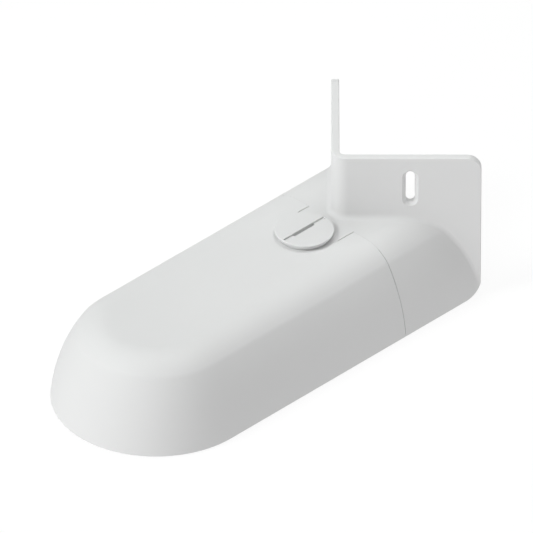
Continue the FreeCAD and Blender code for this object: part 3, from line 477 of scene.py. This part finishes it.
def make_fuse():
    """A glass tube between two pressed caps, with the fuse wire along its middle."""
    low, high = corners("fuse")
    middle = (low + high) / 2
    radius = (high.x - low.x) / 2 / MM
    half = (high.z - low.z) / 2 / MM
    glass = radius - CAP_WALL
    glass_end = half - GLASS_INSET
    tube = [
        (glass - GLASS_WALL, -glass_end),
        (glass, -glass_end),
        (glass, glass_end),
        (glass - GLASS_WALL, glass_end),
    ]
    tube_piece = add_piece("fuse_tube", lathe(tube, facing(middle, UP)), "fuse_glass")
    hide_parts("fuse")
    cap = [(radius * share, half - below) for share, below in CAP_END]
    cap += [
        (radius, half - CAP_LONG),
        (glass + CLEAR, half - CAP_LONG),
        (glass + CLEAR, glass_end + CLEAR),
        (0, glass_end + CLEAR),
    ]
    for way, label in ((UP, "upper"), (-UP, "lower")):
        add_piece(f"fuse_cap_{label}", lathe(cap, facing(middle, way)), "contact_metal")
    wire = [(0, -glass_end), (WIRE_RADIUS, -glass_end), (WIRE_RADIUS, glass_end), (0, glass_end)]
    add_piece("fuse_wire", lathe(wire, facing(middle, UP), WIRE_STEPS), "contact_metal")


# ---- pieces: capacitor ---------------------------------------------------------------------------

SLEEVE_FOLD = 0.5
SLEEVE_ROUND = 0.35
SLEEVE_FOOT = 0.2
CRIMP_UP = 1.3
CRIMP_HALF = 0.35
CRIMP_DEEP = 0.28
TOP_DEEP = 0.3
TOP_INSET = 0.05
SCORE_HALF = 0.12
SECTOR_STEPS = 8


def make_capacitor():
    """A can in its sleeve, with the crimp above the foot and a scored top."""
    low, high = corners("capacitor")
    radius = (high.x - low.x) / 2 / MM
    tall = (high.y - low.y) / MM
    foot = Vector(((low.x + high.x) / 2, high.y, (low.z + high.z) / 2))
    place = facing(foot, OFF_WALL)
    open_radius = radius - SLEEVE_FOLD
    crimp = [
        (radius - CRIMP_DEEP * math.sin(math.pi * share), CRIMP_UP + CRIMP_HALF * (2 * share - 1))
        for share in QUARTERS
    ]
    profile = [
        (0, 0),
        (radius - SLEEVE_FOOT, 0),
        (radius, SLEEVE_FOOT),
        *crimp,
        *rounded_corner(radius, tall, SLEEVE_ROUND),
        (open_radius, tall),
        (open_radius, tall - TOP_DEEP),
        (0, tall - TOP_DEEP),
    ]
    sleeve = add_piece("capacitor_sleeve", lathe(profile, place), "capacitor_sleeve")
    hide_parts("capacitor")
    top = scored_top(open_radius - TOP_INSET, tall - TOP_DEEP + CLEAR, tall - TOP_INSET)
    top.transform(place)
    add_piece("capacitor_top", top, "contact_metal")


def scored_top(radius, under, over):
    """Four quarters of a disk, with the two score lines between them."""
    mesh = bmesh.new()
    first = math.asin(SCORE_HALF / radius)
    sweep = math.pi / 2 - 2 * first
    angles = [first + sweep * step / SECTOR_STEPS for step in range(SECTOR_STEPS + 1)]
    arc = [(radius * math.cos(angle), radius * math.sin(angle)) for angle in angles]
    sector = [(SCORE_HALF, SCORE_HALF), *arc]
    for _ in range(4):
        lower = ring_of(mesh, sector, under)
        upper = ring_of(mesh, sector, over)
        mesh.faces.new(upper)
        mesh.faces.new(lower[::-1])
        band(mesh, lower, upper)
        sector = [(-y, x) for x, y in sector]
    return mesh


# ---- pieces: the board ---------------------------------------------------------------------------
# Board coordinates: x along the plate, y up and z off the board's front face.

# middle and turn in degrees of each chip resistor
SMALL_PARTS = [(2.2, 4.6, 90), (4.4, 7.4, 0), (12.3, 19.0, 90), (16.6, 12.6, 0), (18.9, 26.0, 0)]
SMALL_LONG = 2.0
SMALL_WIDE = 1.25
SMALL_HIGH = 0.5
SMALL_END = 0.4
SMALL_END_ROUND = 0.06
SMALL_BODY_ROUND = 0.05
SMALL_BODY_INSET = 0.03
SMALL_BODY_LAP = 0.05
SOLDER_RADIUS = 1.25
SOLDER_HIGH = 1.5
SOLDER_SHARES = (0, 0.15, 0.4, 0.7, 1)
SOLDER_CURVE = 1.6
SOLDER_TIP = 0.16
SOLDER_SUNK = 0.02
SOLDER_STEPS = 24
# in metres: how near a lead's points are to the board's face where it ends
TOUCH = 0.00001


def board_matrix():
    """From board coordinates to the frame."""
    return facing(corners("output_board")[0], OFF_WALL, RIGHT)


def make_chip_resistors():
    """Small chip resistors with tinned ends."""
    bodies, ends = bmesh.new(), bmesh.new()
    inner, outer = SMALL_LONG / 2 - SMALL_END, SMALL_LONG / 2
    half = SMALL_WIDE / 2
    body_half = half - SMALL_BODY_INSET
    body_end = inner + SMALL_BODY_LAP
    body_low = (-body_end, -body_half, SMALL_BODY_INSET)
    body_high = (body_end, body_half, SMALL_HIGH - SMALL_BODY_INSET)
    for x, y, turn in SMALL_PARTS:
        place = Matrix.Translation((x * MM, y * MM, 0)) @ Matrix.Rotation(math.radians(turn), 4, "Z")
        add_block(bodies, body_low, body_high, SMALL_BODY_ROUND, place)
        for near, far in ((-outer, -inner), (inner, outer)):
            add_block(ends, (near, -half, 0), (far, half, SMALL_HIGH), SMALL_END_ROUND, place)
    bodies.transform(board_matrix())
    ends.transform(board_matrix())
    add_piece("chip_resistors", bodies, "chip_plastic")
    add_piece("chip_resistor_ends", ends, "contact_metal")


def lead_end(lead):
    """Where a lead's mesh touches the board's front face."""
    low = corners("output_board")[0]
    on_face = [v.co for v in nodes[lead].data.vertices if abs(v.co.y - low.y) < TOUCH]
    middle = sum(on_face, Vector()) / len(on_face)
    return (middle.x - low.x) / MM, (middle.z - low.z) / MM


def solder_mound(mesh, x, y):
    """Adds a solder joint: a concave cone that wets the pad round a lead."""
    rings = []
    for share in SOLDER_SHARES:
        slimming = (1 - share) ** SOLDER_CURVE + SOLDER_TIP * share
        outline = circle(x, y, SOLDER_RADIUS * slimming, SOLDER_STEPS)
        rings.append(ring_of(mesh, outline, SOLDER_HIGH * share - SOLDER_SUNK))
    for lower, upper in zip(rings, rings[1:]):
        band(mesh, lower, upper)
    mesh.faces.new(rings[0][::-1])
    mesh.faces.new(rings[-1])


def make_pad_solder():
    """Solder where the two leads meet their pads."""
    mesh = bmesh.new()
    for lead in ("positive_lead", "negative_lead"):
        solder_mound(mesh, *lead_end(lead))
    mesh.transform(board_matrix())
    add_piece("pad_solder", mesh, "contact_metal")


def make_pieces():
    for number in range(1, 5):
        make_cell_trim(number)
    make_fuse()
    make_capacitor()
    make_chip_resistors()
    make_pad_solder()


make_camera()
make_stage()
finish_nodes()
make_pieces()
